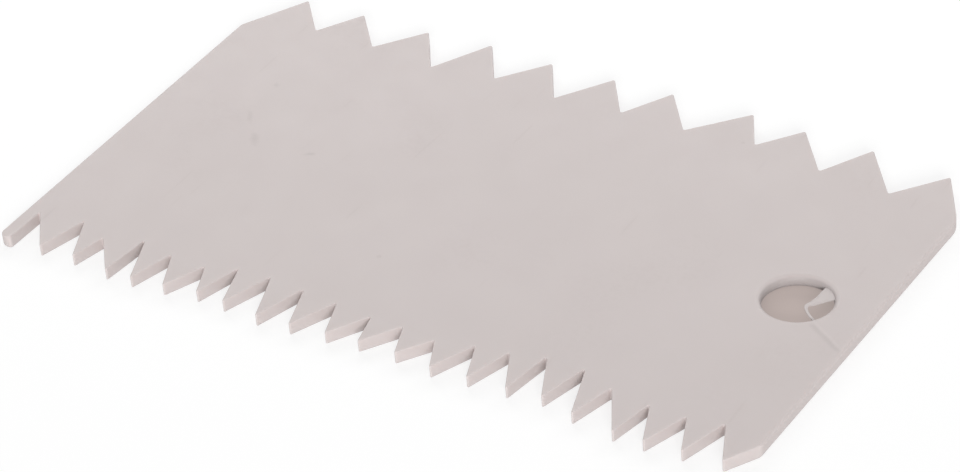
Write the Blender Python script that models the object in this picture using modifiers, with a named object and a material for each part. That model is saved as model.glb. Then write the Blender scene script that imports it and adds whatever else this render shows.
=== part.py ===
"""Icing comb: a flat plastic scraper with coarse V teeth on one long edge, fine V teeth on the other,
and a round hanging hole near one short side. It is one injection moulding, so it is one solid.

The plate lies flat. X runs along the toothed edges, Y from the fine teeth to the coarse teeth and
Z up through the thickness. The origin is under the middle of the plate, on its underside.
"""

import math

import bmesh
import bpy

# Driving dimensions, in metres and radians
MM = 0.001

LENGTH = 111.8 * MM  # over the shoulders, where the coarse row ends on the short sides
WIDTH = 66.0 * MM  # from the fine tips to the coarse tips, at the short sides
THICKNESS = 1.8 * MM
SIDE_TAPER = 1.3 * MM  # each short side's foot stands this far inside its shoulder
ROW_CAMBER = 0.7 * MM  # how far both rows bow towards the coarse side at the middle

COARSE_PITCH = 10.0 * MM
COARSE_ANGLE = math.radians(73.0)
COARSE_MARGIN = 5.9 * MM  # from the left shoulder to the first tip
COARSE_END_LEAST = 5.4 * MM  # the least room between the last tip and the right shoulder
COARSE_TIP_RADIUS = 0.25 * MM
COARSE_ROOT_RADIUS = 0.25 * MM
LEFT_SHOULDER_DROP = 9.8 * MM
LEFT_SHOULDER_RADIUS = 1.5 * MM
RIGHT_SHOULDER_DROP = 9.8 * MM
RIGHT_SHOULDER_RADIUS = 5.0 * MM

# The teeth are unevenly cut: how far (along, across), in millimetres, the oddest tips and roots stand off
ODD_COARSE_TIPS = {
    0: (-0.6, -0.2),
    1: (-1.0, -0.3),
    2: (0.0, -0.5),
    3: (0.0, 0.3),
    4: (0.2, -0.4),
    5: (0.1, -0.3),
    6: (-0.9, 0.0),
    7: (1.3, 0.2),
    8: (-0.6, -0.4),
    9: (-0.5, -0.5),
    10: (1.1, -1.6),
}
ODD_COARSE_ROOTS = {
    1: (-0.2, -0.4),
    2: (0.2, -1.6),
    3: (-0.2, -0.4),
    4: (-0.2, -1.2),
    5: (-0.1, -0.5),
    6: (-0.4, -0.5),
    7: (-0.2, 0.5),
    8: (0.2, -1.2),
    9: (0.5, -1.8),
}

FINE_PITCH = 5.0 * MM
FINE_ANGLE = math.radians(45.0)
FINE_MARGIN = 6.3 * MM  # from the left side to the first tip
FINE_END_LEAST = 2.5 * MM  # the least room between the last tip and the right side
FINE_END_RISE = 5.2 * MM  # where the last tooth's outer flank meets the right side
FINE_TIP_RADIUS = 0.15 * MM
FINE_ROOT_RADIUS = 0.15 * MM
RIGHT_FOOT_RADIUS = 1.5 * MM
ODD_FINE_TIPS = {
    0: (0.4, -0.4),
    1: (0.7, -0.4),
    2: (1.5, -1.0),
    3: (0.4, -1.1),
    4: (0.2, -0.6),
    6: (-0.8, -0.3),
    7: (-0.3, -0.9),
    8: (-0.5, -0.5),
    9: (-0.4, 0.0),
    10: (-0.8, 0.4),
    11: (-0.4, 0.5),
    13: (0.1, 0.3),
    14: (0.5, 0.6),
    15: (0.2, 1.2),
    17: (1.0, -0.6),
    18: (0.1, -0.5),
    20: (0.1, 0.7),
}
ODD_FINE_ROOTS = {
    0: (-0.2, 0.8),
    1: (-0.6, -1.3),
    2: (-0.3, 0.8),
    3: (-0.2, -0.5),
    4: (0.3, -0.8),
    5: (-0.5, 0.7),
    6: (-0.7, 1.0),
    7: (-0.4, 0.6),
    9: (0.5, -0.5),
    10: (0.2, -0.5),
    11: (0.2, -1.1),
    12: (0.3, 0.3),
    13: (-0.2, 1.0),
    14: (-0.7, 2.4),
    15: (-0.3, 2.4),
    16: (-0.6, 0.6),
    19: (-0.3, 1.0),
}

TAB_WIDTH = 1.9 * MM  # the plain finger that ends the fine row on the left
TAB_REACH = 0.6 * MM  # how far the finger stands past the fine tips
TAB_CORNER_RADIUS = 0.4 * MM
LEFT_FOOT_RADIUS = 1.2 * MM  # the finger's corner on the short side

HOLE_DIAMETER = 9.0 * MM
HOLE_FROM_SIDE = 10.6 * MM  # from the right shoulder's line to the hole's centre
HOLE_FROM_FINE_TIPS = 32.6 * MM
HOLE_RIM_ROUND = 0.8 * MM

SIDE_EDGE_ROUND = 0.35 * MM  # along the short sides
TOOTH_EDGE_ROUND = 0.13 * MM  # along the teeth

# How finely the round stretches are cut
ARC_STEP = math.radians(35.0)
EDGE_STEPS = 2
HOLE_SIDES = 48
RIM_STEPS = 4
CUTTER_REACH = 2.0 * MM
RIM_LEAD = 0.02 * MM
MERGE = 0.001 * MM

# Sizes worked out from the driving dimensions: no edge round outgrows the wall or the corner it lies on
WALL_SHARE = 0.45
CORNER_SHARE = 0.88
LARGEST_ROUND = WALL_SHARE * THICKNESS
RIM_ROUND = min(HOLE_RIM_ROUND, LARGEST_ROUND)
SIDE_ROUND = min(SIDE_EDGE_ROUND, LARGEST_ROUND, CORNER_SHARE * min(LEFT_FOOT_RADIUS, RIGHT_FOOT_RADIUS))
TOOTH_ROUND = min(
    TOOTH_EDGE_ROUND,
    LARGEST_ROUND,
    CORNER_SHARE * min(COARSE_TIP_RADIUS, FINE_TIP_RADIUS, TAB_CORNER_RADIUS),
)
COARSE_COUNT = 1 + math.floor((LENGTH - COARSE_MARGIN - COARSE_END_LEAST) / COARSE_PITCH)
FINE_COUNT = 1 + math.floor((LENGTH - 2 * SIDE_TAPER - FINE_MARGIN - FINE_END_LEAST) / FINE_PITCH)

PLASTIC_COLOUR = (0.631, 0.578, 0.565, 1.0)
PLASTIC_ROUGHNESS = 0.48


def clear_scene():
    """Empty the scene of objects."""
    for thing in list(bpy.data.objects):
        bpy.data.objects.remove(thing, do_unlink=True)


def new_collection(name):
    """A collection linked to the scene."""
    collection = bpy.data.collections.new(name)
    bpy.context.scene.collection.children.link(collection)
    return collection


def plastic_material():
    """The off-white, faintly warm moulded plastic."""
    material = bpy.data.materials.new("comb_plastic")
    material.use_nodes = True
    shader = material.node_tree.nodes["Principled BSDF"]
    shader.inputs["Base Color"].default_value = PLASTIC_COLOUR
    shader.inputs["Roughness"].default_value = PLASTIC_ROUGHNESS
    shader.inputs["Metallic"].default_value = 0.0
    return material


def camber(x):
    """How far the rows bow across at this place along them: nothing at the short sides."""
    share = 2 * x / LENGTH - 1
    return ROW_CAMBER * (1 - share**2)


def apex_reach(radius, left, right):
    """How far a sharp apex lies past its rounded tip, for flanks at these angles off the tooth's axis."""
    return radius * ((math.cos(left) + math.cos(right)) / math.sin(left + right) - 1.0)


def fine_row():
    """Corners (x, y, radius, edge round after it) from the tab to the right side's foot, left to right.

    The even row's tips lie on y = 0, bowed by the camber, and its roots where neighbouring flanks cross.
    """
    half = FINE_ANGLE / 2
    apex = -apex_reach(FINE_TIP_RADIUS, half, half)
    root = apex + FINE_PITCH / 2 / math.tan(half)
    finger = SIDE_TAPER + TAB_WIDTH
    side = LENGTH - SIDE_TAPER
    corners = [
        (SIDE_TAPER, -TAB_REACH, LEFT_FOOT_RADIUS, TOOTH_ROUND),
        (finger, -TAB_REACH, TAB_CORNER_RADIUS, TOOTH_ROUND),
        (finger, root + camber(finger), FINE_ROOT_RADIUS, TOOTH_ROUND),
    ]
    for tooth in range(FINE_COUNT):
        tip = SIDE_TAPER + FINE_MARGIN + tooth * FINE_PITCH
        first, last = tooth == 0, tooth == FINE_COUNT - 1
        left = math.atan2(tip - finger, root) if first else half
        right = math.atan2(side - tip, FINE_END_RISE) if last else half
        along, across = ODD_FINE_TIPS.get(tooth, (0.0, 0.0))
        sharp = camber(tip) - apex_reach(FINE_TIP_RADIUS, left, right)
        corners.append((tip + along * MM, sharp + across * MM, FINE_TIP_RADIUS, TOOTH_ROUND))
        if not last:
            valley = tip + FINE_PITCH / 2
            along, across = ODD_FINE_ROOTS.get(tooth, (0.0, 0.0))
            place = (valley + along * MM, root + camber(valley) + across * MM)
            corners.append((*place, FINE_ROOT_RADIUS, TOOTH_ROUND))
    corners.append((side, FINE_END_RISE, RIGHT_FOOT_RADIUS, SIDE_ROUND))
    return corners


def coarse_row():
    """Corners from the right shoulder to the left one. The even row's tips lie on y = WIDTH, bowed."""
    half = COARSE_ANGLE / 2
    apex = WIDTH + apex_reach(COARSE_TIP_RADIUS, half, half)
    root = apex - COARSE_PITCH / 2 / math.tan(half)
    corners = [(LENGTH, WIDTH - RIGHT_SHOULDER_DROP, RIGHT_SHOULDER_RADIUS, TOOTH_ROUND)]
    for tooth in reversed(range(COARSE_COUNT)):
        tip = COARSE_MARGIN + tooth * COARSE_PITCH
        if tooth < COARSE_COUNT - 1:
            valley = tip + COARSE_PITCH / 2
            along, across = ODD_COARSE_ROOTS.get(tooth, (0.0, 0.0))
            place = (valley + along * MM, root + camber(valley) + across * MM)
            corners.append((*place, COARSE_ROOT_RADIUS, TOOTH_ROUND))
        along, across = ODD_COARSE_TIPS.get(tooth, (0.0, 0.0))
        sharp = apex + camber(tip)
        corners.append((tip + along * MM, sharp + across * MM, COARSE_TIP_RADIUS, TOOTH_ROUND))
    corners.append((0.0, WIDTH - LEFT_SHOULDER_DROP, LEFT_SHOULDER_RADIUS, SIDE_ROUND))
    return corners


def rounded(corners):
    """The closed outline through these corners, anticlockwise, with an arc of its radius at each.

    Each point is (x, y, outward x, outward y, edge round there); the round changes along the arcs.
    """
    points = []
    for i, (x, y, radius, round_out) in enumerate(corners):
        before, after = corners[i - 1], corners[(i + 1) % len(corners)]
        round_in = before[3]
        heading_in = math.atan2(y - before[1], x - before[0])
        heading_out = math.atan2(after[1] - y, after[0] - x)
        turn = math.remainder(heading_out - heading_in, math.tau)
        reach = radius * math.tan(abs(turn) / 2)
        bend = math.copysign(radius, turn)
        centre_x = x - reach * math.cos(heading_in) - bend * math.sin(heading_in)
        centre_y = y - reach * math.sin(heading_in) + bend * math.cos(heading_in)
        steps = 2 * math.ceil(abs(turn) / ARC_STEP / 2)
        for step in range(steps + 1):
            share = step / steps
            out_x = math.sin(heading_in + turn * share)
            out_y = -math.cos(heading_in + turn * share)
            size = round_in + (round_out - round_in) * share
            points.append((centre_x + bend * out_x, centre_y + bend * out_y, out_x, out_y, size))
    return points


def plate_outline():
    """The whole outline in the plate's own corner frame, anticlockwise from the tab."""
    return rounded(fine_row() + coarse_row())


def middle(points):
    """The centre of the outline's bounding box, which is the plate's origin in plan."""
    along = [point[0] for point in points]
    across = [point[1] for point in points]
    return (min(along) + max(along)) / 2, (min(across) + max(across)) / 2


def edge_levels():
    """The rings of the plate's edge from the underside up: (share moved in, rounds up from a face, face)."""
    turns = [math.pi / 2 * step / EDGE_STEPS for step in range(EDGE_STEPS + 1)]
    lower = [(1 - math.cos(turn), 1 - math.sin(turn), 0) for turn in reversed(turns)]
    upper = [(1 - math.cos(turn), math.sin(turn) - 1, THICKNESS) for turn in turns]
    return lower + upper


def plate_blank(name, points, centre, collection):
    """The plate with its rounded edges, standing on Z = 0, as rings of the outline from face to face."""
    shape = bmesh.new()
    rings = []
    for moved, raised, face in edge_levels():
        ring = []
        for x, y, out_x, out_y, size in points:
            along = x - out_x * size * moved - centre[0]
            across = y - out_y * size * moved - centre[1]
            ring.append(shape.verts.new((along, across, face + size * raised)))
        rings.append(ring)
    shape.faces.new(reversed(rings[0]))
    shape.faces.new(rings[-1])
    for below, above in zip(rings, rings[1:]):
        for i in range(len(points)):
            shape.faces.new((below[i - 1], below[i], above[i], above[i - 1]))
    mesh = bpy.data.meshes.new(name)
    shape.to_mesh(mesh)
    shape.free()
    plate = bpy.data.objects.new(name, mesh)
    collection.objects.link(plate)
    return plate


def hole_profile():
    """Half section of the hole's spool, from the axis above the plate down to the axis below it."""
    lip = HOLE_DIAMETER / 2 + RIM_ROUND
    points = [(0.0, THICKNESS + CUTTER_REACH), (lip, THICKNESS + CUTTER_REACH), (lip, THICKNESS + RIM_LEAD)]
    for step in range(1, RIM_STEPS + 1):
        turn = math.pi / 2 * step / RIM_STEPS
        points.append((lip - RIM_ROUND * math.sin(turn), THICKNESS - RIM_ROUND * (1 - math.cos(turn))))
    for step in reversed(range(1, RIM_STEPS + 1)):
        turn = math.pi / 2 * step / RIM_STEPS
        points.append((lip - RIM_ROUND * math.sin(turn), RIM_ROUND * (1 - math.cos(turn))))
    points += [(lip, -RIM_LEAD), (lip, -CUTTER_REACH), (0.0, -CUTTER_REACH)]
    return points


def hole_cutter(centre, collection):
    """The turned spool that cuts the hanging hole and its rounded rims."""
    mesh = bpy.data.meshes.new("hole_cutter")
    points = hole_profile()
    mesh.from_pydata([(x, 0.0, z) for x, z in points], [(i, i + 1) for i in range(len(points) - 1)], [])
    cutter = bpy.data.objects.new("hole_cutter", mesh)
    cutter.location = (LENGTH - HOLE_FROM_SIDE - centre[0], HOLE_FROM_FINE_TIPS - centre[1], 0.0)
    collection.objects.link(cutter)
    screw = cutter.modifiers.new("turn", "SCREW")
    screw.axis = "Z"
    screw.angle = math.tau
    screw.steps = HOLE_SIDES
    screw.render_steps = HOLE_SIDES
    screw.use_merge_vertices = True
    screw.merge_threshold = MERGE
    cutter.hide_render = True
    cutter.display_type = "WIRE"
    return cutter


def cut(piece, cutter):
    """Take the cutter out of the piece."""
    boolean = piece.modifiers.new(cutter.name, "BOOLEAN")
    boolean.operation = "DIFFERENCE"
    boolean.solver = "EXACT"
    boolean.object = cutter


def comb_plate(parts, cutters):
    """The comb: the toothed plate, its rounded edges and its hanging hole."""
    points = plate_outline()
    centre = middle(points)
    plate = plate_blank("comb_plate", points, centre, parts)
    cut(plate, hole_cutter(centre, cutters))
    plate.data.shade_smooth()
    plate.data.set_sharp_from_angle(angle=math.radians(30.0))
    plate.data.materials.append(plastic_material())
    return plate


clear_scene()
comb_plate(new_collection("icing_comb"), new_collection("cutters"))
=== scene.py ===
"""Dresses the icing comb: its moulded plate, its weld flash, its plastic and the studio.

The plate lies flat on the floor. X runs along the toothed edges towards the hanging hole, Y from
the fine teeth to the coarse teeth, and Z up through the thickness. All lengths are in metres.
"""

import logging
import math
from dataclasses import dataclass, field
from enum import Enum
from functools import cached_property
from itertools import pairwise

import bmesh
import bpy
import numpy as np
from mathutils import Matrix, Vector


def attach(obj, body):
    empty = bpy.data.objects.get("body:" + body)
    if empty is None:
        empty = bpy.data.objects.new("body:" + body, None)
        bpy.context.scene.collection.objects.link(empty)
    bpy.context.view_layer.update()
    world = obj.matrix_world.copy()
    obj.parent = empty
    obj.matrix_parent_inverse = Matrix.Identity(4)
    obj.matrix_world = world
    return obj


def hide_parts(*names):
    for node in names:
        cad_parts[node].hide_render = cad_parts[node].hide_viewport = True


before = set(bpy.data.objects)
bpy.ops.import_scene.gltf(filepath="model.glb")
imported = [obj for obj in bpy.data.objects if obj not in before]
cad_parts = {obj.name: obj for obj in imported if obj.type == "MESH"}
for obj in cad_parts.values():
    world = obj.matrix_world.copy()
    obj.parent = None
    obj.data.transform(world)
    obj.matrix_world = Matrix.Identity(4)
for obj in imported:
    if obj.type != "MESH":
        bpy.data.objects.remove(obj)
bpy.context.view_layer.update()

MM = 0.001
THICKNESS = 1.8 * MM
CAD_NODE = "comb_plate"
BODY = "root"
STATION = "station"
FLAT_FACE_WEIGHT = 100
NOISE_MEAN = 0.5
BLACK = (0.0, 0.0, 0.0, 1.0)
WHITE = (1.0, 1.0, 1.0, 1.0)

log = logging.getLogger("icing_comb")

Point = tuple[float, float, float]
Colour = tuple[float, float, float, float]
Span = tuple[float, float]


class EdgeKind(Enum):
    """How far the moulding's edges are rounded, by the stretch of outline they lie on."""

    TOOTH = 0.13 * MM
    SIDE = 0.35 * MM


class SocketKind(Enum):
    """The kinds of socket that the shared effects take and give."""

    VALUE = "NodeSocketFloat"
    COLOUR = "NodeSocketColor"
    VECTOR = "NodeSocketVector"


class Effect(Enum):
    """The node groups of the shared effects, by name."""

    TONE = "moulding_tone"
    MARKS = "handling_marks"
    SKIN = "moulding_skin"


class ViewRay(Enum):
    """The rays that see the studio's plain white instead of its working light."""

    CAMERA = "Is Camera Ray"
    GLOSSY = "Is Glossy Ray"
    TRANSMISSION = "Is Transmission Ray"


# Modelling helpers


def clear_selection() -> None:
    """Leave edit mode and deselect every object."""
    if bpy.context.mode != "OBJECT":
        bpy.ops.object.mode_set(mode="OBJECT")
    bpy.ops.object.select_all(action="DESELECT")


def take_up(piece: bpy.types.Object) -> None:
    """Select one piece alone and make it the active object.

    Args:
        piece: The mesh object.
    """
    clear_selection()
    piece.select_set(True)
    bpy.context.view_layer.objects.active = piece


def open_mesh(piece: bpy.types.Object) -> None:
    """Enter edit mode on one piece with nothing selected.

    Args:
        piece: The mesh object to edit.
    """
    take_up(piece)
    bpy.ops.object.mode_set(mode="EDIT")
    bpy.ops.mesh.select_mode(type="VERT")
    bpy.ops.mesh.select_all(action="DESELECT")


def close_mesh() -> None:
    """Make every face point outwards and go back to object mode."""
    bpy.ops.mesh.select_all(action="SELECT")
    bpy.ops.mesh.normals_make_consistent(inside=False)
    bpy.ops.mesh.select_all(action="DESELECT")
    bpy.ops.object.mode_set(mode="OBJECT")


def draw_line(name: str, points: list[Point]) -> bpy.types.Object:
    """Draw an open line by extruding one vertex from point to point, and stay in edit mode.

    Args:
        name: The new object's name.
        points: The line's points in order.

    Returns:
        The new mesh object, in edit mode, with only the last vertex selected.
    """
    clear_selection()
    bpy.ops.mesh.primitive_plane_add(size=MM, location=points[0])
    bpy.ops.object.transform_apply(location=True, rotation=True, scale=True)
    line = bpy.context.object
    line.name = name
    open_mesh(line)
    bpy.ops.mesh.select_all(action="SELECT")
    bpy.ops.mesh.merge(type="CENTER")
    for start, end in pairwise(points):
        step = Vector(end) - Vector(start)
        bpy.ops.mesh.extrude_vertices_move(TRANSFORM_OT_translate={"value": tuple(step)})
    return line


def place_ring(piece: bpy.types.Object, ring: list[Point]) -> None:
    """Move each selected vertex to its station's place on a ring.

    Args:
        piece: The object in edit mode, whose vertices carry their station number.
        ring: One place for each station.
    """
    shape = bmesh.from_edit_mesh(piece.data)
    station = shape.verts.layers.int[STATION]
    for vertex in shape.verts:
        if vertex.select:
            vertex.co = ring[vertex[station]]
    bmesh.update_edit_mesh(piece.data)


def loft_rings(name: str, rings: list[list[Point]]) -> bpy.types.Object:
    """Build a closed solid from a filled circle that is extruded from ring to ring.

    Args:
        name: The new object's name.
        rings: The solid's cross-sections in order, each with the same number of points.

    Returns:
        The new mesh object, in object mode.
    """
    clear_selection()
    bpy.ops.mesh.primitive_circle_add(vertices=len(rings[0]), radius=MM, fill_type="NGON")
    solid = bpy.context.object
    solid.name = name
    solid.data.name = name
    numbers = solid.data.attributes.new(STATION, "INT", "POINT")
    numbers.data.foreach_set("value", list(range(len(rings[0]))))
    open_mesh(solid)
    bpy.ops.mesh.select_all(action="SELECT")
    place_ring(solid, rings[0])
    for ring in rings[1:]:
        bpy.ops.mesh.extrude_region_move()
        place_ring(solid, ring)
    close_mesh()
    solid.data.attributes.remove(solid.data.attributes[STATION])
    return solid


def cut_away(piece: bpy.types.Object, tool: bpy.types.Object) -> None:
    """Cut a tool's shape out of a piece, then delete the tool.

    Args:
        piece: The object that keeps the result.
        tool: The object that is used up.
    """
    take_up(piece)
    boolean = piece.modifiers.new(tool.name, "BOOLEAN")
    boolean.operation = "DIFFERENCE"
    boolean.solver = "EXACT"
    boolean.object = tool
    bpy.ops.object.modifier_apply(modifier=boolean.name)
    bpy.data.objects.remove(tool, do_unlink=True)


def smooth_piece(piece: bpy.types.Object, angle: float) -> None:
    """Shade a piece smooth up to an angle, with its flat faces kept flat.

    Args:
        piece: The mesh object to shade.
        angle: The largest angle in radians that is still shaded smooth.
    """
    take_up(piece)
    bpy.ops.object.shade_smooth_by_angle(angle=angle)
    weighted = piece.modifiers.new("flat_faces_first", "WEIGHTED_NORMAL")
    weighted.keep_sharp = True
    weighted.weight = FLAT_FACE_WEIGHT
    bpy.ops.object.modifier_apply(modifier=weighted.name)


def hand_over(piece: bpy.types.Object, material: bpy.types.Material) -> None:
    """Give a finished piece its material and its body.

    Args:
        piece: The finished mesh object.
        material: The plastic it is made of.
    """
    piece.data.materials.clear()
    piece.data.materials.append(material)
    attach(piece, BODY)


# Node helpers


@dataclass(frozen=True)
class Noise:
    """One fractal noise: its features per metre, its finer layers and how strong they are."""

    scale: float
    detail: float
    roughness: float


class NodeBoard:
    """Adds and links nodes in one node tree."""

    def __init__(self, tree: bpy.types.NodeTree) -> None:
        """Work on the node tree that receives the nodes."""
        self.tree = tree

    def add(self, kind: str, settings: dict | None = None, **values: object) -> bpy.types.Node:
        """Add a node.

        Args:
            kind: The node's type name.
            settings: Node properties to set, by name.
            values: Constants or output sockets for its inputs, by name with underscores for spaces.

        Returns:
            The new node.
        """
        node = self.tree.nodes.new(kind)
        for name, setting in (settings or {}).items():
            setattr(node, name, setting)
        for name, value in values.items():
            self.feed(node.inputs[name.replace("_", " ")], value)
        return node

    def feed(self, socket: bpy.types.NodeSocket, value: object) -> None:
        """Link an output socket into an input socket, or set the input to a constant.

        Args:
            socket: The input socket.
            value: The constant or the output socket.
        """
        if isinstance(value, bpy.types.NodeSocket):
            self.tree.links.new(value, socket)
        else:
            socket.default_value = value

    def effect(self, effect: Effect, **values: object) -> bpy.types.Node:
        """Place a shared effect's group, with constants or sockets for its inputs by name."""
        group = bpy.data.node_groups[effect.value]
        return self.add("ShaderNodeGroup", {"node_tree": group}, **values)

    def math(self, operation: str, *terms: object) -> bpy.types.NodeSocket:
        """Combine numbers in one Math node.

        Args:
            operation: The node's operation.
            terms: One to three constants or output sockets.

        Returns:
            The result's socket.
        """
        node = self.add("ShaderNodeMath", {"operation": operation})
        for socket, term in zip(node.inputs, terms):
            self.feed(socket, term)
        return node.outputs["Value"]

    def fold(self, operation: str, first: object, *others: object) -> object:
        """Combine any number of numbers in order with one operation.

        Args:
            operation: The Math nodes' operation.
            first: The first constant or output socket.
            others: The constants or output sockets that follow.

        Returns:
            The result's socket.
        """
        for other in others:
            first = self.math(operation, first, other)
        return first

    def noise(self, vector: object, noise: Noise) -> bpy.types.NodeSocket:
        """Sample a fractal noise, whose value is NOISE_MEAN on average."""
        values = {"Scale": noise.scale, "Detail": noise.detail, "Roughness": noise.roughness}
        return self.add("ShaderNodeTexNoise", Vector=vector, **values).outputs["Fac"]

    def remap(self, value: object, given: Span, wanted: Span) -> bpy.types.NodeSocket:
        """Stretch a number from one range to another, smoothly and held inside it.

        Args:
            value: The number's socket.
            given: Where the number's own range starts and ends.
            wanted: What the start and the end become.

        Returns:
            The stretched number's socket.
        """
        node = self.add("ShaderNodeMapRange", {"interpolation_type": "SMOOTHSTEP"})
        for socket, term in zip(node.inputs, (value, *given, *wanted)):
            self.feed(socket, term)
        return node.outputs["Result"]

    def rise(self, value: object, low: float, high: float) -> bpy.types.NodeSocket:
        """Make a mask that is 0 up to the low value and 1 from the high one."""
        return self.remap(value, (low, high), (0.0, 1.0))

    def fall(self, value: object, low: float, high: float) -> bpy.types.NodeSocket:
        """Make a mask that is 1 up to the low value and 0 from the high one."""
        return self.remap(value, (low, high), (1.0, 0.0))

    def distance(self, first: object, second: object) -> bpy.types.NodeSocket:
        """Measure how far apart two places are.

        Args:
            first: One place, constant or socket.
            second: The other place, constant or socket.

        Returns:
            The distance's socket.
        """
        node = self.add("ShaderNodeVectorMath", {"operation": "DISTANCE"})
        for socket, place in zip(node.inputs, (first, second)):
            self.feed(socket, place)
        return node.outputs["Value"]

    def lay(
        self, vector: object, place: Point, heading: float, size: Point = (1.0, 1.0, 1.0)
    ) -> bpy.types.NodeSocket:
        """Read the coordinates from a mark's own place, heading and size.

        Args:
            vector: The coordinates' socket.
            place: The mark's place.
            heading: The mark's angle in the plan.
            size: The mark's unit lengths.

        Returns:
            The socket of the mark's own coordinates.
        """
        values = {"Location": place, "Rotation": (0.0, 0.0, heading), "Scale": size}
        node = self.add("ShaderNodeMapping", {"vector_type": "TEXTURE"}, Vector=vector, **values)
        return node.outputs["Vector"]

    def colour(self, red: object, green: object, blue: object) -> bpy.types.NodeSocket:
        """Make a colour from its red, green and blue."""
        node = self.add("ShaderNodeCombineColor", Red=red, Green=green, Blue=blue)
        return node.outputs["Color"]

    def blend(self, kind: str, share: object, first: object, second: object) -> object:
        """Mix two colours.

        Args:
            kind: The blend type, such as MIX or MULTIPLY.
            share: How much of the second colour is used.
            first: The first colour, constant or socket.
            second: The second colour, constant or socket.

        Returns:
            The mixed colour's socket.
        """
        node = self.add("ShaderNodeMix", {"data_type": "RGBA", "blend_type": kind})
        colours = [socket for socket in node.inputs if socket.type == "RGBA"]
        for socket, term in zip((node.inputs[0], *colours), (share, first, second)):
            self.feed(socket, term)
        return next(socket for socket in node.outputs if socket.type == "RGBA")


def new_group(
    effect: Effect, inputs: dict[str, SocketKind], outputs: dict[str, SocketKind]
) -> tuple[NodeBoard, dict, dict]:
    """Start a shared effect's shader node group.

    Args:
        effect: The effect.
        inputs: Input names and their kinds.
        outputs: Output names and their kinds.

    Returns:
        A board on the group's tree, its input sockets by name and its output sockets by name.
    """
    tree = bpy.data.node_groups.new(effect.value, "ShaderNodeTree")
    for way, sockets in (("INPUT", inputs), ("OUTPUT", outputs)):
        for label, kind in sockets.items():
            tree.interface.new_socket(label, in_out=way, socket_type=kind.value)
    entry = tree.nodes.new("NodeGroupInput")
    leave = tree.nodes.new("NodeGroupOutput")
    return NodeBoard(tree), dict(entry.outputs.items()), dict(leave.inputs.items())


@dataclass
class MaterialStart:
    """A new node material with its board, its shader and its Object coordinates."""

    name: str

    def __post_init__(self) -> None:
        """Make the material."""
        self.material = bpy.data.materials.new(self.name)
        self.material.use_nodes = True
        self.board = NodeBoard(self.material.node_tree)
        self.shader = self.material.node_tree.nodes["Principled BSDF"]
        self.place = self.board.add("ShaderNodeTexCoord").outputs["Object"]

    def settle(self, values: dict[str, object]) -> bpy.types.Material:
        """Set what is the same all over the surface on the shader's own sockets.

        Args:
            values: The values by socket name.

        Returns:
            The finished material.
        """
        for label, value in values.items():
            self.shader.inputs[label].default_value = value
        return self.material


# The plastic's shared effects


@dataclass(frozen=True)
class MouldingTone:
    """Cloudy unevenness in a moulded plastic's colour and gloss."""

    broad: Noise = Noise(38.0, 2.0, 0.45)
    broad_share: float = 0.65
    close: Noise = Noise(260.0, 3.0, 0.55)
    close_share: float = 0.35
    blue_swing: float = 1.25
    gloss_swing: float = 0.22

    def build(self) -> None:
        """Build the effect's group, which puts out a colour and a roughness."""
        board, given, made = new_group(
            Effect.TONE,
            {
                "Vector": SocketKind.VECTOR,
                "Colour": SocketKind.COLOUR,
                "Unevenness": SocketKind.VALUE,
                "Roughness": SocketKind.VALUE,
            },
            {"Colour": SocketKind.COLOUR, "Roughness": SocketKind.VALUE},
        )
        broad = board.noise(given["Vector"], self.broad)
        close = board.noise(given["Vector"], self.close)
        broad_part = board.math("MULTIPLY", broad, self.broad_share)
        cloud = board.math("MULTIPLY_ADD", close, self.close_share, broad_part)
        cloud = board.math("SUBTRACT", cloud, NOISE_MEAN)
        swing = board.math("MULTIPLY", cloud, given["Unevenness"])
        level = board.math("ADD", swing, 1.0)
        blue = board.math("MULTIPLY_ADD", swing, self.blue_swing, 1.0)
        colour = board.blend("MULTIPLY", 1.0, given["Colour"], board.colour(level, level, blue))
        board.feed(made["Colour"], colour)
        sheen = board.math("SUBTRACT", close, NOISE_MEAN)
        gloss = board.math("MULTIPLY_ADD", sheen, self.gloss_swing, given["Roughness"])
        board.feed(made["Roughness"], gloss)


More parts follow.
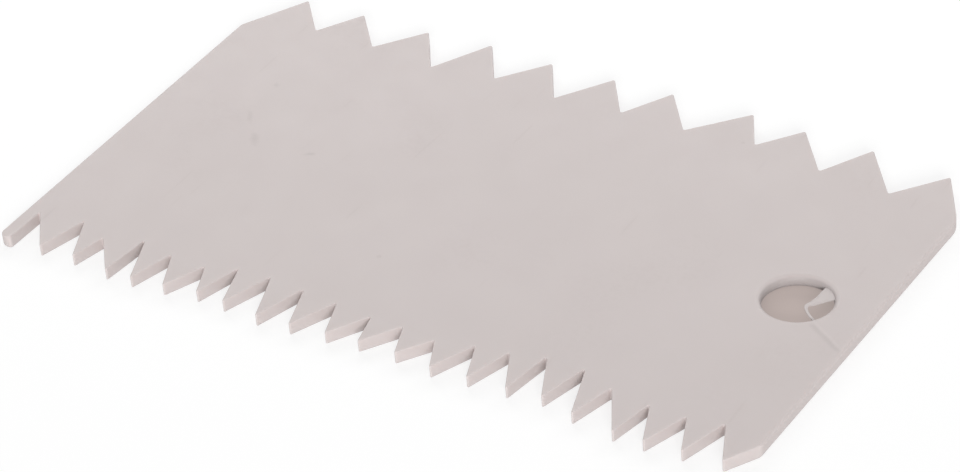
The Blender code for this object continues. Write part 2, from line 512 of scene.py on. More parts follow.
@dataclass(frozen=True)
class HandlingMarks:
    """Faint rubs, hair scratches and specks from handling.

    The hairs run several ways, each with its turn and how many would lie across a metre.
    """

    rub_patch: Noise = Noise(55.0, 2.0, 0.5)
    rub_patch_span: Span = (0.5, 0.72)
    rub_grain: Noise = Noise(1500.0, 2.0, 0.6)
    rub_grain_span: Span = (0.4, 0.75)
    hair: Noise = Noise(1.0, 1.0, 0.4)
    hair_span: Span = (0.76, 0.81)
    hair_ways: tuple[tuple[float, float], ...] = (
        (0.35, 1500.0),
        (-0.8, 1250.0),
        (1.3, 1400.0),
    )
    hairs_along: float = 90.0
    speck_scale: float = 170.0
    speck_span: Span = (0.035, 0.075)
    speck_rarity: float = 0.9

    def build(self) -> None:
        """Build the effect's group, which puts out a mask for each kind of mark."""
        board, given, made = new_group(
            Effect.MARKS,
            {"Vector": SocketKind.VECTOR, "Amount": SocketKind.VALUE},
            {label: SocketKind.VALUE for label in ("Rubs", "Scratches", "Specks")},
        )
        vector, amount = given["Vector"], given["Amount"]
        patch = board.rise(board.noise(vector, self.rub_patch), *self.rub_patch_span)
        grain = board.rise(board.noise(vector, self.rub_grain), *self.rub_grain_span)
        board.feed(made["Rubs"], board.fold("MULTIPLY", patch, grain, amount))
        strands = []
        for turn, across in self.hair_ways:
            turn, scale = (0.0, 0.0, turn), (across, self.hairs_along, across)
            way = board.add("ShaderNodeMapping", Vector=vector, Rotation=turn, Scale=scale)
            line = board.noise(way.outputs["Vector"], self.hair)
            strands.append(board.rise(line, *self.hair_span))
        hairs = board.fold("MAXIMUM", *strands)
        board.feed(made["Scratches"], board.math("MULTIPLY", hairs, amount))
        cells = board.add("ShaderNodeTexVoronoi", Vector=vector, Scale=self.speck_scale)
        spot = board.fall(cells.outputs["Distance"], *self.speck_span)
        chosen = board.add("ShaderNodeSeparateColor", Color=cells.outputs["Color"])
        rare = board.math("GREATER_THAN", chosen.outputs["Red"], self.speck_rarity)
        board.feed(made["Specks"], board.fold("MULTIPLY", spot, rare, amount))


@dataclass(frozen=True)
class MouldingSkin:
    """The moulded face's relief: slow waves under a fine eroded grain."""

    wave: Noise = Noise(70.0, 1.0, 0.4)
    wave_height: float = 0.035 * MM
    grain: Noise = Noise(2600.0, 2.0, 0.5)
    grain_height: float = 0.0035 * MM

    def build(self) -> None:
        """Build the effect's group, which puts out a height in metres."""
        board, given, made = new_group(
            Effect.SKIN, {"Vector": SocketKind.VECTOR}, {"Height": SocketKind.VALUE}
        )
        wave = board.math("MULTIPLY", board.noise(given["Vector"], self.wave), self.wave_height)
        grain = board.math("MULTIPLY", board.noise(given["Vector"], self.grain), self.grain_height)
        board.feed(made["Height"], board.math("ADD", wave, grain))


# The marks that lie at one place each


@dataclass(frozen=True)
class PaintedWeldLineShading:
    """The line where two fronts of melt met beyond the hole, with painted shade on one side and a
    painted highlight on the other, as a low ridge there would be lit; the ridge is not modelled.

    The two offsets, the painted highlight's width and the wander are shares of the streak's width.
    The streak fades in over the head's stretch from its start and out over the tail's from its end.
    """

    start: Point
    end: Point
    width: float = 0.6 * MM
    # Painted shade on one side of the weld line and a painted highlight on the other.
    shade_and_wear_darkening: float = 0.08
    painted_shade_offset: float = 0.3
    painted_highlight: float = 0.03
    painted_highlight_offset: float = 0.55
    painted_highlight_width: float = 0.7
    wander: float = 0.5
    wander_noise: Noise = Noise(420.0, 1.0, 0.5)
    head: Span = (-0.4 * MM, 0.6 * MM)
    tail: Span = (-0.2 * MM, 1.2 * MM)

    def shade(self, board: NodeBoard, vector: object) -> bpy.types.NodeSocket:
        """Build the factor that paints the streak's shade and highlight.

        Args:
            board: The board of the material's tree.
            vector: The Object coordinates' socket.

        Returns:
            A factor near 1 that multiplies the colour.
        """
        heading = math.atan2(self.end[1] - self.start[1], self.end[0] - self.start[0])
        length = math.dist(self.start[:2], self.end[:2])
        split = board.add("ShaderNodeSeparateXYZ", Vector=board.lay(vector, self.start, heading))
        along, across = split.outputs["X"], split.outputs["Y"]
        sway = board.math("SUBTRACT", board.noise(vector, self.wander_noise), NOISE_MEAN)
        across = board.math("MULTIPLY_ADD", sway, self.wander * self.width, across)
        begun = board.rise(along, *self.head)
        ended = board.fall(along, *(length + reach for reach in self.tail))
        off_painted_shade = board.math("ADD", across, self.painted_shade_offset * self.width)
        low = board.fall(board.math("ABSOLUTE", off_painted_shade), 0.0, self.width)
        off_painted_highlight = board.math("SUBTRACT", across, self.painted_highlight_offset * self.width)
        reach = self.painted_highlight_width * self.width
        high = board.fall(board.math("ABSOLUTE", off_painted_highlight), 0.0, reach)
        low = board.math("MULTIPLY", low, -self.shade_and_wear_darkening)
        mark = board.math("MULTIPLY_ADD", high, self.painted_highlight, low)
        return board.math("MULTIPLY_ADD", mark, board.math("MULTIPLY", begun, ended), 1.0)


@dataclass(frozen=True)
class PaintedHoleShade:
    """The hole's rounded rim, painted darker than the faces as painted shade inside the hole.

    The painted shade starts at the first depth under the top face and is whole at the full depth.
    """

    centre: Point
    radius: float
    face: float
    first: float = 0.08 * MM
    full: float = 0.4 * MM
    fade: float = 0.15 * MM
    # How much painted shade darkens the hole's rim, below the top face.
    shade_and_wear_darkening: float = 0.2

    def shade(self, board: NodeBoard, vector: object) -> bpy.types.NodeSocket:
        """Build the factor that paints shade into the hole's rim.

        Args:
            board: The board of the material's tree.
            vector: The Object coordinates' socket.

        Returns:
            A factor of 1 or a little less that multiplies the colour.
        """
        split = board.add("ShaderNodeSeparateXYZ", Vector=vector)
        along, across = split.outputs["X"], split.outputs["Y"]
        level = board.add("ShaderNodeCombineXYZ", X=along, Y=across, Z=0.0)
        away = board.distance(level.outputs["Vector"], self.centre)
        near = board.fall(away, self.radius, self.radius + self.fade)
        sunk = board.fall(split.outputs["Z"], self.face - self.full, self.face - self.first)
        return board.math("MULTIPLY_ADD", board.math("MULTIPLY", near, sunk), -self.shade_and_wear_darkening, 1.0)


@dataclass(frozen=True)
class FaceScuff:
    """One small darker scuff on the top face.

    Its core, its edge and how ragged it is are shares of its half length and half width.
    """

    centre: Point
    length: float
    width: float
    heading: float
    shade_and_wear_darkening: float
    core: float = 0.05
    edge: float = 1.3
    raggedness: float = 1.6
    ragged_noise: Noise = Noise(900.0, 2.0, 0.6)

    def shade(self, board: NodeBoard, vector: object) -> bpy.types.NodeSocket:
        """Build the scuff's shading factor.

        Args:
            board: The board of the material's tree.
            vector: The Object coordinates' socket.

        Returns:
            A factor of 1 or a little less that multiplies the colour.
        """
        size = (self.length / 2, self.width / 2, self.width / 2)
        away = board.distance(board.lay(vector, self.centre, self.heading, size), (0.0, 0.0, 0.0))
        sway = board.math("SUBTRACT", board.noise(vector, self.ragged_noise), NOISE_MEAN)
        spread = board.math("ADD", away, board.math("MULTIPLY", sway, self.raggedness))
        mark = board.fall(spread, self.core, self.edge)
        return board.math("MULTIPLY_ADD", mark, -self.shade_and_wear_darkening, 1.0)


LocalMark = PaintedWeldLineShading | PaintedHoleShade | FaceScuff

FACE_SCUFFS = tuple(
    FaceScuff((x * MM, y * MM, THICKNESS), length * MM, width * MM, math.radians(turn), shade_and_wear_darkening)
    for x, y, length, width, turn, shade_and_wear_darkening in (
        (-27.7, -0.2, 2.0, 0.8, 26.0, 0.1),
        (-40.5, 3.8, 3.4, 0.9, -55.0, 0.06),
        (-36.8, -0.4, 3.6, 1.3, -55.0, 0.08),
        (-41.8, 12.1, 1.5, 1.1, -55.0, 0.07),
    )
)


# The finish


@dataclass(frozen=True)
class MarkTint:
    """The colour that a handling mark leaves, and how strongly it shows."""

    colour: Colour
    share: float


@dataclass(frozen=True)
class CombPlastic:
    """The comb's finish: semi-matte off-white moulded plastic with a faint warm cast."""

    name: str
    colour: Colour = (0.640, 0.577, 0.565, 1.0)
    roughness: float = 0.5
    unevenness: float = 0.07
    marks: float = 1.0
    local_marks: tuple[LocalMark, ...] = ()
    rubs: MarkTint = MarkTint((0.50, 0.43, 0.41, 1.0), 0.05)
    scratches: MarkTint = MarkTint((0.48, 0.42, 0.40, 1.0), 0.06)
    specks: MarkTint = MarkTint((0.40, 0.33, 0.31, 1.0), 0.14)
    scratch_roughness: float = 0.15
    rub_roughness: float = 0.1
    scratch_depth: float = 0.0015 * MM
    relief_strength: float = 0.6
    ior: float = 1.46
    specular: float = 0.3
    soft_share: float = 0.32
    soft_radius: Point = (1.0, 0.92, 0.88)
    soft_depth: float = 1.2 * MM

    def build(self) -> bpy.types.Material:
        """Build the material.

        Returns:
            The node material.
        """
        start = MaterialStart(self.name)
        board, shader, place = start.board, start.shader, start.place
        values = {"Unevenness": self.unevenness, "Roughness": self.roughness}
        tone = board.effect(Effect.TONE, Vector=place, Colour=self.colour, **values)
        marks = board.effect(Effect.MARKS, Vector=place, Amount=self.marks).outputs
        skin = board.effect(Effect.SKIN, Vector=place)

        colour = tone.outputs["Colour"]
        # Local marks: painted shade in the hole's rim, painted shade and highlight along the weld
        # line, and real scuffs.
        for mark in self.local_marks:
            factor = mark.shade(board, place)
            colour = board.blend("MULTIPLY", 1.0, colour, board.colour(factor, factor, factor))
        tints = {"Rubs": self.rubs, "Scratches": self.scratches, "Specks": self.specks}
        for label, tint in tints.items():
            share = board.math("MULTIPLY", marks[label], tint.share)
            colour = board.blend("MIX", share, colour, tint.colour)
        board.feed(shader.inputs["Base Color"], colour)

        worn = tone.outputs["Roughness"]
        for label, wear in (("Scratches", self.scratch_roughness), ("Rubs", self.rub_roughness)):
            worn = board.math("MULTIPLY_ADD", marks[label], wear, worn)
        board.feed(shader.inputs["Roughness"], worn)

        height = skin.outputs["Height"]
        height = board.math("MULTIPLY_ADD", marks["Scratches"], -self.scratch_depth, height)
        strength = self.relief_strength
        bump = board.add("ShaderNodeBump", Strength=strength, Distance=1.0, Height=height)
        board.feed(shader.inputs["Normal"], bump.outputs["Normal"])
        return start.settle(
            {
                "Metallic": 0.0,
                "IOR": self.ior,
                "Specular IOR Level": self.specular,
                "Subsurface Weight": self.soft_share,
                "Subsurface Radius": self.soft_radius,
                "Subsurface Scale": self.soft_depth,
            }
        )


# The comb's own pieces

# A row's odd tips or roots by number: how many millimetres each stands off, along and across it.
OddPoints = dict[int, tuple[float, float]]
Corner = tuple[float, float, float, EdgeKind]
OutlinePoint = tuple[float, float, float, float, float]


def offset(odd: OddPoints, number: int) -> tuple[float, float]:
    """Look up how far a tip or root stands off, along and across its even row."""
    along, across = odd.get(number, (0.0, 0.0))
    return along * MM, across * MM


@dataclass
class CoarseRow:
    """The row of large V teeth and the two shoulders beside it."""

    pitch: float = 10.0 * MM
    angle: float = math.radians(73.0)
    margin: float = 5.9 * MM
    count: int = 11
    tip_radius: float = 0.25 * MM
    root_radius: float = 0.25 * MM
    left_drop: float = 9.8 * MM
    left_radius: float = 1.5 * MM
    right_drop: float = 9.8 * MM
    right_radius: float = 5.0 * MM
    odd_tips: OddPoints = field(
        default_factory=lambda: {
            0: (-0.6, -0.2), 1: (-1.0, -0.3), 2: (0.0, -0.5), 3: (0.0, 0.3),
            4: (0.2, -0.4), 5: (0.1, -0.3), 6: (-0.9, 0.0), 7: (1.3, 0.2),
            8: (-0.6, -0.4), 9: (-0.5, -0.5), 10: (1.1, -1.6),
        }
    )
    odd_roots: OddPoints = field(
        default_factory=lambda: {
            1: (-0.2, -0.4), 2: (0.2, -1.6), 3: (-0.2, -0.4), 4: (-0.2, -1.2),
            5: (-0.1, -0.5), 6: (-0.4, -0.5), 7: (-0.2, 0.5), 8: (0.2, -1.2),
            9: (0.5, -1.8),
        }
    )


@dataclass
class FineRow:
    """The row of small V teeth, the plain finger that ends it and the foot at its other end."""

    pitch: float = 5.0 * MM
    angle: float = math.radians(45.0)
    margin: float = 6.3 * MM
    count: int = 21
    end_rise: float = 5.2 * MM
    tip_radius: float = 0.15 * MM
    root_radius: float = 0.15 * MM
    foot_radius: float = 1.5 * MM
    finger_width: float = 1.9 * MM
    finger_reach: float = 0.6 * MM
    finger_radius: float = 0.4 * MM
    finger_foot_radius: float = 1.2 * MM
    odd_tips: OddPoints = field(
        default_factory=lambda: {
            0: (0.4, -0.4), 1: (0.7, -0.4), 2: (1.5, -1.0), 3: (0.4, -1.1),
            4: (0.2, -0.6), 6: (-0.8, -0.3), 7: (-0.3, -0.9), 8: (-0.5, -0.5),
            9: (-0.4, 0.0), 10: (-0.8, 0.4), 11: (-0.4, 0.5), 13: (0.1, 0.3),
            14: (0.5, 0.6), 15: (0.2, 1.2), 17: (1.0, -0.6), 18: (0.1, -0.5),
            20: (0.1, 0.7),
        }
    )
    odd_roots: OddPoints = field(
        default_factory=lambda: {
            0: (-0.2, 0.8), 1: (-0.6, -1.3), 2: (-0.3, 0.8), 3: (-0.2, -0.5),
            4: (0.3, -0.8), 5: (-0.5, 0.7), 6: (-0.7, 1.0), 7: (-0.4, 0.6),
            9: (0.5, -0.5), 10: (0.2, -0.5), 11: (0.2, -1.1), 12: (0.3, 0.3),
            13: (-0.2, 1.0), 14: (-0.7, 2.4), 15: (-0.3, 2.4), 16: (-0.6, 0.6),
            19: (-0.3, 1.0),
        }
    )


@dataclass
class HangingHole:
    """The round hole near the right side, with rounded rims."""

    diameter: float = 9.0 * MM
    from_side: float = 10.6 * MM
    from_fine_tips: float = 32.6 * MM
    rim_round: float = 0.8 * MM
    sides: int = 120
    rim_steps: int = 8
    tool_reach: float = 2.0 * MM
    tool_lead: float = 0.02 * MM
    merge_distance: float = 0.001 * MM

    @property
    def lip(self) -> float:
        """The radius at the rims' outer edges."""
        return self.diameter / 2 + self.rim_round

    def profile(self, centre: Vector, thickness: float) -> list[Point]:
        """Draw half the section of the spool that cuts the hole, from the top of its axis down.

        Args:
            centre: The hole's centre on the underside.
            thickness: The plate's thickness.

        Returns:
            The section's points.
        """
        turns = [math.pi / 2 * step / self.rim_steps for step in range(1, self.rim_steps + 1)]
        curve = [
            (self.lip - self.rim_round * math.sin(turn), self.rim_round * (1 - math.cos(turn)))
            for turn in turns
        ]
        top = thickness + self.tool_reach
        section = [(0.0, top), (self.lip, top), (self.lip, thickness + self.tool_lead)]
        section += [(out, thickness - rise) for out, rise in curve]
        section += reversed(curve)
        section += [(self.lip, -self.tool_lead), (self.lip, -self.tool_reach)]
        section.append((0.0, -self.tool_reach))
        return [(centre.x + out, centre.y, up) for out, up in section]

    def spool(self, centre: Vector, thickness: float) -> bpy.types.Object:
        """Spin the section into the tool that cuts the hole.

        Args:
            centre: The hole's centre on the underside.
            thickness: The plate's thickness.

        Returns:
            The cutting tool.
        """
        tool = draw_line("hole_tool", self.profile(centre, thickness))
        middle, upright = (centre.x, centre.y, 0.0), (0.0, 0.0, 1.0)
        bpy.ops.mesh.select_all(action="SELECT")
        bpy.ops.mesh.spin(steps=self.sides, angle=math.tau, center=middle, axis=upright)
        bpy.ops.mesh.select_all(action="SELECT")
        bpy.ops.mesh.remove_doubles(threshold=self.merge_distance)
        close_mesh()
        return tool


@dataclass
class CombMoulding:
    """The whole comb: one flat moulding with teeth on each long edge and a hanging hole.

    The streak's start and end are measured from the hole's centre.
    """

    length: float = 111.8 * MM
    width: float = 66.0 * MM
    thickness: float = THICKNESS
    side_taper: float = 1.3 * MM
    row_camber: float = 0.7 * MM
    coarse: CoarseRow = field(default_factory=CoarseRow)
    fine: FineRow = field(default_factory=FineRow)
    hole: HangingHole = field(default_factory=HangingHole)
    streak_start: tuple[float, float] = (3.9 * MM, -3.9 * MM)
    streak_end: tuple[float, float] = (9.0 * MM, -7.15 * MM)
    arc_step: float = math.radians(15.0)
    edge_steps: int = 4
    smooth_angle: float = math.radians(35.0)

    @cached_property
    def corner(self) -> Vector:
        """Where the outline's corner frame starts, seen from the middle of the outline's box."""
        points = self.plan()
        along = [point[0] for point in points]
        across = [point[1] for point in points]
        return Vector((-(min(along) + max(along)) / 2, -(min(across) + max(across)) / 2, 0.0))

    @property
    def hole_centre(self) -> Vector:
        """The hanging hole's centre on the underside."""
        place = (self.length - self.hole.from_side, self.hole.from_fine_tips, 0.0)
        return self.corner + Vector(place)

    def camber(self, x: float) -> float:
        """How far the rows bow across at this place along them: nothing at the short sides."""
        return self.row_camber * (1 - (2 * x / self.length - 1) ** 2)

    @staticmethod
    def apex_reach(radius: float, left: float, right: float) -> float:
        """How far a sharp apex lies past its rounded tip, with each flank's angle off the axis."""
        return radius * ((math.cos(left) + math.cos(right)) / math.sin(left + right) - 1.0)

    def fine_corners(self) -> list[Corner]:
        """List the fine row's corners from the plain finger to the right foot.

        Returns:
            Each corner's x, y, radius and the kind of edge after it.
        """
        row, edge = self.fine, EdgeKind.TOOTH
        half = row.angle / 2
        apex = -self.apex_reach(row.tip_radius, half, half)
        root = apex + row.pitch / 2 / math.tan(half)
        finger = self.side_taper + row.finger_width
        side = self.length - self.side_taper
        corners = [
            (self.side_taper, -row.finger_reach, row.finger_foot_radius, edge),
            (finger, -row.finger_reach, row.finger_radius, edge),
            (finger, root + self.camber(finger), row.root_radius, edge),
        ]
        for tooth in range(row.count):
            tip = self.side_taper + row.margin + tooth * row.pitch
            first, last = tooth == 0, tooth == row.count - 1
            left = math.atan2(tip - finger, root) if first else half
            right = math.atan2(side - tip, row.end_rise) if last else half
            along, across = offset(row.odd_tips, tooth)
            sharp = self.camber(tip) - self.apex_reach(row.tip_radius, left, right)
            corners.append((tip + along, sharp + across, row.tip_radius, edge))
            if not last:
                valley = tip + row.pitch / 2
                along, across = offset(row.odd_roots, tooth)
                deep = root + self.camber(valley)
                corners.append((valley + along, deep + across, row.root_radius, edge))
        corners.append((side, row.end_rise, row.foot_radius, EdgeKind.SIDE))
        return corners

    def coarse_corners(self) -> list[Corner]:
        """List the coarse row's corners from the right shoulder to the left one.

        Returns:
            Each corner's x, y, radius and the kind of edge after it.
        """
        row, edge = self.coarse, EdgeKind.TOOTH
        half = row.angle / 2
        apex = self.width + self.apex_reach(row.tip_radius, half, half)
        root = apex - row.pitch / 2 / math.tan(half)
        corners = [(self.length, self.width - row.right_drop, row.right_radius, edge)]
        for tooth in reversed(range(row.count)):
            tip = row.margin + tooth * row.pitch
            if tooth < row.count - 1:
                valley = tip + row.pitch / 2
                along, across = offset(row.odd_roots, tooth)
                deep = root + self.camber(valley)
                corners.append((valley + along, deep + across, row.root_radius, edge))
            along, across = offset(row.odd_tips, tooth)
            sharp = apex + self.camber(tip)
            corners.append((tip + along, sharp + across, row.tip_radius, edge))
        corners.append((0.0, self.width - row.left_drop, row.left_radius, EdgeKind.SIDE))
        return corners

    def plan(self) -> list[OutlinePoint]:
        """Draw the closed outline with an arc at each corner, anticlockwise from the finger.

        Returns:
            Each point's x, y, outward x, outward y and edge round, in the outline's corner frame.
        """
        corners = self.fine_corners() + self.coarse_corners()
        points = []
        for i, (x, y, radius, kind) in enumerate(corners):
            before, after = corners[i - 1], corners[(i + 1) % len(corners)]
            heading_in = math.atan2(y - before[1], x - before[0])
            heading_out = math.atan2(after[1] - y, after[0] - x)
            turn = math.remainder(heading_out - heading_in, math.tau)
            reach = radius * math.tan(abs(turn) / 2)
            bend = math.copysign(radius, turn)
            centre_x = x - reach * math.cos(heading_in) - bend * math.sin(heading_in)
            centre_y = y - reach * math.sin(heading_in) + bend * math.cos(heading_in)
            steps = 2 * math.ceil(abs(turn) / self.arc_step / 2)
            for share in np.linspace(0.0, 1.0, steps + 1):
                out_x = math.sin(heading_in + turn * share)
                out_y = -math.cos(heading_in + turn * share)
                edge = before[3].value + (kind.value - before[3].value) * share
                place = (centre_x + bend * out_x, centre_y + bend * out_y)
                points.append((*place, out_x, out_y, edge))
        return points

    def rings(self) -> list[list[Point]]:
        """Raise the outline from the underside up, drawn in where the edges are rounded.

        Returns:
            The plate's cross-sections, each with one place for each outline point.
        """
        turns = [math.pi / 2 * step / self.edge_steps for step in range(self.edge_steps + 1)]
        levels = [(1 - math.cos(turn), 1 - math.sin(turn), 0.0) for turn in reversed(turns)]
        levels += [(1 - math.cos(turn), math.sin(turn) - 1, self.thickness) for turn in turns]
        left, low = self.corner.x, self.corner.y
        outline = [(x + left, y + low, *rest) for x, y, *rest in self.plan()]
        return [
            [
                (x - out_x * edge * moved, y - out_y * edge * moved, face + edge * raised)
                for x, y, out_x, out_y, edge in outline
            ]
            for moved, raised, face in levels
        ]

    def local_marks(self) -> tuple[LocalMark, ...]:
        """List the marks that lie at one place each on the moulding.

        Returns:
            The weld line's painted shade and highlight, the painted shade in the hole's rim and the
            scuffs on the top face.
        """
        centre = self.hole_centre
        # The weld line's streak is painted shade and a painted highlight.
        start = (centre.x + self.streak_start[0], centre.y + self.streak_start[1], 0.0)
        end = (centre.x + self.streak_end[0], centre.y + self.streak_end[1], 0.0)
        # The hole's rim gets painted shade.
        rim = PaintedHoleShade(tuple(centre), self.hole.lip, self.thickness)
        return (PaintedWeldLineShading(start, end), rim, *FACE_SCUFFS)

    def build(self) -> bpy.types.Object:
        """Loft the toothed plate and cut its hanging hole.

        Returns:
            The finished moulding.
        """
        plate = loft_rings("comb_moulding", self.rings())
        cut_away(plate, self.hole.spool(self.hole_centre, self.thickness))
        smooth_piece(plate, self.smooth_angle)
        return plate

    def dress(self, plate: bpy.types.Object, finish: CombPlastic) -> None:
        """Give the finished moulding its plastic and let it stand for the CAD plate."""
        hand_over(plate, finish.build())
        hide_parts(CAD_NODE)


def smooth_curve(knots: list[Vector], steps: int) -> list[Vector]:
    """Draw a smooth curve that passes through some knots.

    Args:
        knots: The curve's knots in order.
        steps: How many points each stretch between two knots gets.

    Returns:
        The curve's points, from the first knot to the last.
    """
    around = [2 * knots[0] - knots[1], *knots, 2 * knots[-1] - knots[-2]]
    points = []
    for a, b, c, d in zip(around, around[1:], around[2:], around[3:]):
        pull, bow, twist = c - a, 2 * a - 5 * b + 4 * c - d, 3 * b - a - 3 * c + d
        for step in range(steps):
            t = step / steps
            points.append(0.5 * (2 * b + pull * t + bow * t**2 + twist * t**3))
    points.append(knots[-1])
    return points


@dataclass
class WeldFlash:
    """The sliver of flash that the mould left across one side of the hanging hole.

    Its path runs from the near rim to the right one. It gives each point's place from the hole's
    centre and the sliver's half width there, in millimetres.
    """

    hole_centre: Vector
    colour: Colour = (0.66, 0.588, 0.572, 1.0)
    path: tuple[Point, ...] = (
        (4.25, -3.15, 0.24),
        (3.56, -2.65, 0.20),
        (2.76, -2.12, 0.18),
        (1.97, -1.38, 0.18),
        (1.46, -0.62, 0.24),
        (1.50, -0.10, 0.34),
        (1.90, 0.44, 0.50),
        (2.34, 1.38, 0.74),
        (2.76, 2.44, 1.12),
        (3.22, 3.58, 1.55),
    )
    floor_height: float = 1.18 * MM
    top_height: float = 1.35 * MM
    squareness: float = 0.7
    sides: int = 16
    path_steps: int = 4
    smooth_angle: float = math.radians(50.0)

    def section(self, middle: Vector, heading: Vector) -> list[Point]:
        """Draw one cross-section of the sliver, an oval with squared shoulders.

        Args:
            middle: The section's place in the plan, with its half width as the third number.
            heading: The path's direction there.

        Returns:
            The section's points.
        """
        across = Vector((-heading.y, heading.x, 0.0)).normalized()
        tall = (self.top_height - self.floor_height) / 2
        centre = Vector((middle.x, middle.y, (self.top_height + self.floor_height) / 2))
        ring = []
        for step in range(self.sides):
            turn = math.tau * (step + 0.5) / self.sides
            aside, up = (
                math.copysign(abs(share) ** self.squareness, share) * half
                for share, half in ((math.cos(turn), middle.z), (math.sin(turn), tall))
            )
            ring.append(tuple(centre + across * aside + Vector((0.0, 0.0, up))))
        return ring

    def build(self) -> bpy.types.Object:
        """Loft the sliver along its path.

        Returns:
            The finished sliver.
        """
        low = Vector((self.hole_centre.x, self.hole_centre.y, 0.0))
        rail = smooth_curve([low + Vector(knot) * MM for knot in self.path], self.path_steps)
        rings = []
        for i, middle in enumerate(rail):
            heading = rail[min(i + 1, len(rail) - 1)] - rail[max(i - 1, 0)]
            rings.append(self.section(middle, heading))
        sliver = loft_rings("weld_flash", rings)
        smooth_piece(sliver, self.smooth_angle)
        return sliver

    def dress(self, sliver: bpy.types.Object, finish: CombPlastic) -> None:
        """Give the finished sliver its plastic."""
        hand_over(sliver, finish.build())


# The studio


@dataclass
class PhotoCamera:
    """The camera that looks at the comb as the photograph does."""

    aim: Point = (1.443 * MM, -4.346 * MM, 0.0)
    distance: float = 403.35 * MM
    azimuth: float = math.radians(-34.49)
    elevation: float = math.radians(35.08)
    roll: float = math.radians(-4.97)
    lens: float = 117.04
    sensor: float = 36.0
    nearest: float = 0.01
    farthest: float = 10.0

    def build(self) -> None:
        """Place the camera and make it the scene's own."""
        east, north = math.sin(self.azimuth), math.cos(self.azimuth)
        flat, down = math.cos(self.elevation), math.sin(self.elevation)
        forward = Vector((east * flat, north * flat, -down))
        level = Vector((north, -east, 0.0))
        upright = level.cross(forward)
        right = math.cos(self.roll) * level + math.sin(self.roll) * upright
        upward = right.cross(forward)
        camera = bpy.data.objects.new("photo_camera", bpy.data.cameras.new("photo_camera"))
        bpy.context.scene.collection.objects.link(camera)
        turn = Matrix((right, upward, -forward)).transposed().to_4x4()
        place = Vector(self.aim) - forward * self.distance
        camera.matrix_world = Matrix.Translation(place) @ turn
        camera.data.sensor_width = self.sensor
        camera.data.lens = self.lens
        camera.data.clip_start = self.nearest
        camera.data.clip_end = self.farthest
        bpy.context.scene.camera = camera


@dataclass(frozen=True)
class SoftLamp:
    """One soft box lamp, aimed at the comb."""

    name: str
    power: float
    place: Point
    width: float
    height: float

    def build(self) -> None:
        """Hang the lamp."""
        lamp = bpy.data.objects.new(self.name, bpy.data.lights.new(self.name, "AREA"))
        bpy.context.scene.collection.objects.link(lamp)
        lamp.data.energy = self.power
        lamp.data.shape = "RECTANGLE"
        lamp.data.size = self.width
        lamp.data.size_y = self.height
        lamp.location = self.place
        lamp.rotation_mode = "QUATERNION"
        lamp.rotation_quaternion = (-Vector(self.place)).to_track_quat("-Z", "Y")


BACK_STRIP = SoftLamp("back_strip", 3.15, (-0.232, 0.54, 0.341), width=1.1, height=0.23)
FRONT_FILL = SoftLamp("front_fill", 40.5, (1.162, -1.934, 0.821), width=1.2, height=0.6)


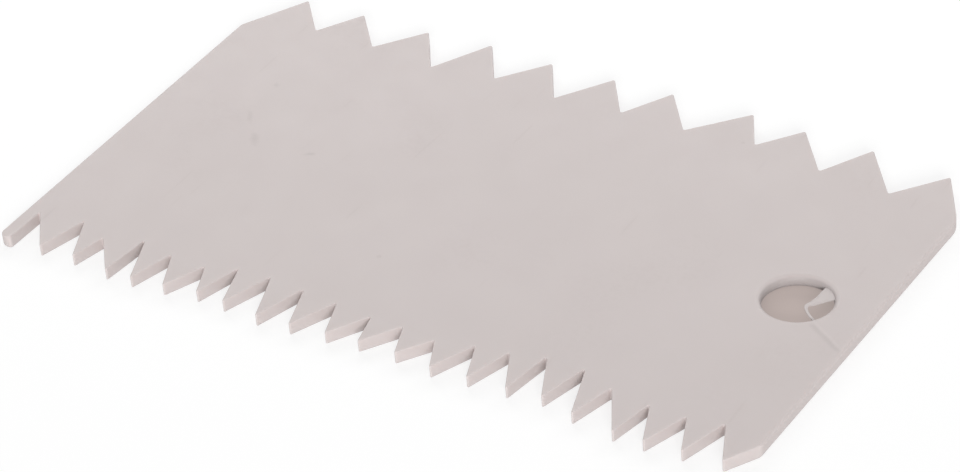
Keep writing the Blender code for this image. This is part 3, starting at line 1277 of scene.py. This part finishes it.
@dataclass
class Studio:
    """The plain white table, the white surround and the soft lamps.

    Under the hanging hole the table is in shade, which ends at the faded share of its radius. The
    camera and reflections see the seen colour and glow.
    """

    hole_centre: Vector
    lamps: tuple[SoftLamp, ...] = (BACK_STRIP, FRONT_FILL)
    surround: float = 0.39
    floor_size: float = 3.0
    floor_drop: float = 0.02 * MM
    table_roughness: float = 0.9
    table_colour: Colour = (0.9, 0.9, 0.9, 1.0)
    seen_colour: Colour = (0.36, 0.36, 0.36, 1.0)
    seen_glow: Colour = (0.69, 0.69, 0.69, 1.0)
    shade_radius: float = 6.5 * MM
    shade_faded: float = 1.25
    shade_colour: Colour = (0.20, 0.165, 0.155, 1.0)
    shade_glow: Colour = (0.345, 0.297, 0.28, 1.0)

    @staticmethod
    def seen_ray(board: NodeBoard) -> bpy.types.NodeSocket:
        """Find the rays that should see plain white, as a socket that is 1 for them."""
        path = board.add("ShaderNodeLightPath")
        return board.fold("MAXIMUM", *(path.outputs[ray.value] for ray in ViewRay))

    def table_material(self) -> bpy.types.Material:
        """Build the table's matt white, in shade under the comb where the hole shows it.

        Returns:
            The node material.
        """
        start = MaterialStart("studio_table")
        board, shader = start.board, start.shader
        centre = (self.hole_centre.x, self.hole_centre.y, -self.floor_drop)
        faded = self.shade_faded * self.shade_radius
        shade = board.fall(board.distance(start.place, centre), self.shade_radius, faded)
        seen = self.seen_ray(board)
        colour = board.blend("MIX", seen, self.table_colour, self.seen_colour)
        colour = board.blend("MIX", shade, colour, self.shade_colour)
        open_glow = board.blend("MIX", seen, BLACK, self.seen_glow)
        shade_glow = board.blend("MIX", seen, BLACK, self.shade_glow)
        glow = board.blend("MIX", shade, open_glow, shade_glow)
        board.feed(shader.inputs["Base Color"], colour)
        board.feed(shader.inputs["Emission Color"], glow)
        values = {"Emission Strength": 1.0, "Specular IOR Level": 0.0}
        return start.settle({**values, "Roughness": self.table_roughness})

    def build_table(self) -> None:
        """Lay the table under the comb."""
        clear_selection()
        place = (0.0, 0.0, -self.floor_drop)
        bpy.ops.mesh.primitive_plane_add(size=self.floor_size, location=place)
        bpy.ops.object.transform_apply(location=True, rotation=True, scale=True)
        table = bpy.context.object
        table.name = "studio_table"
        table.data.materials.append(self.table_material())

    def light(self) -> None:
        """Light the comb with the white surround and the soft lamps."""
        world = bpy.data.worlds.new("studio_surround")
        bpy.context.scene.world = world
        world.use_nodes = True
        board = NodeBoard(world.node_tree)
        background = world.node_tree.nodes["Background"]
        strength = board.remap(self.seen_ray(board), (0.0, 1.0), (self.surround, 1.0))
        board.feed(background.inputs["Strength"], strength)
        background.inputs["Color"].default_value = WHITE
        for lamp in self.lamps:
            lamp.build()


def report_piece(piece: bpy.types.Object) -> None:
    """Log a finished piece's faces and size."""
    size = [round(side / MM, 2) for side in piece.dimensions]
    log.info("%s: %d faces, %s mm", piece.name, len(piece.data.polygons), size)


def main() -> None:
    """Build the comb and its flash, dress them, then set up the studio."""
    logging.basicConfig(level=logging.INFO, format="%(name)s: %(message)s")
    bpy.context.scene.view_settings.view_transform = "Standard"
    for effect in (MouldingTone(), HandlingMarks(), MouldingSkin()):
        effect.build()

    comb = CombMoulding()
    plate = comb.build()
    comb.dress(plate, CombPlastic("comb_plastic_moulded", local_marks=comb.local_marks()))
    report_piece(plate)

    flash = WeldFlash(comb.hole_centre)
    sliver = flash.build()
    flash.dress(sliver, CombPlastic("comb_plastic_flash", flash.colour, marks=0.0))
    report_piece(sliver)

    studio = Studio(comb.hole_centre)
    studio.build_table()
    studio.light()
    PhotoCamera().build()


if __name__ == "__main__":
    main()
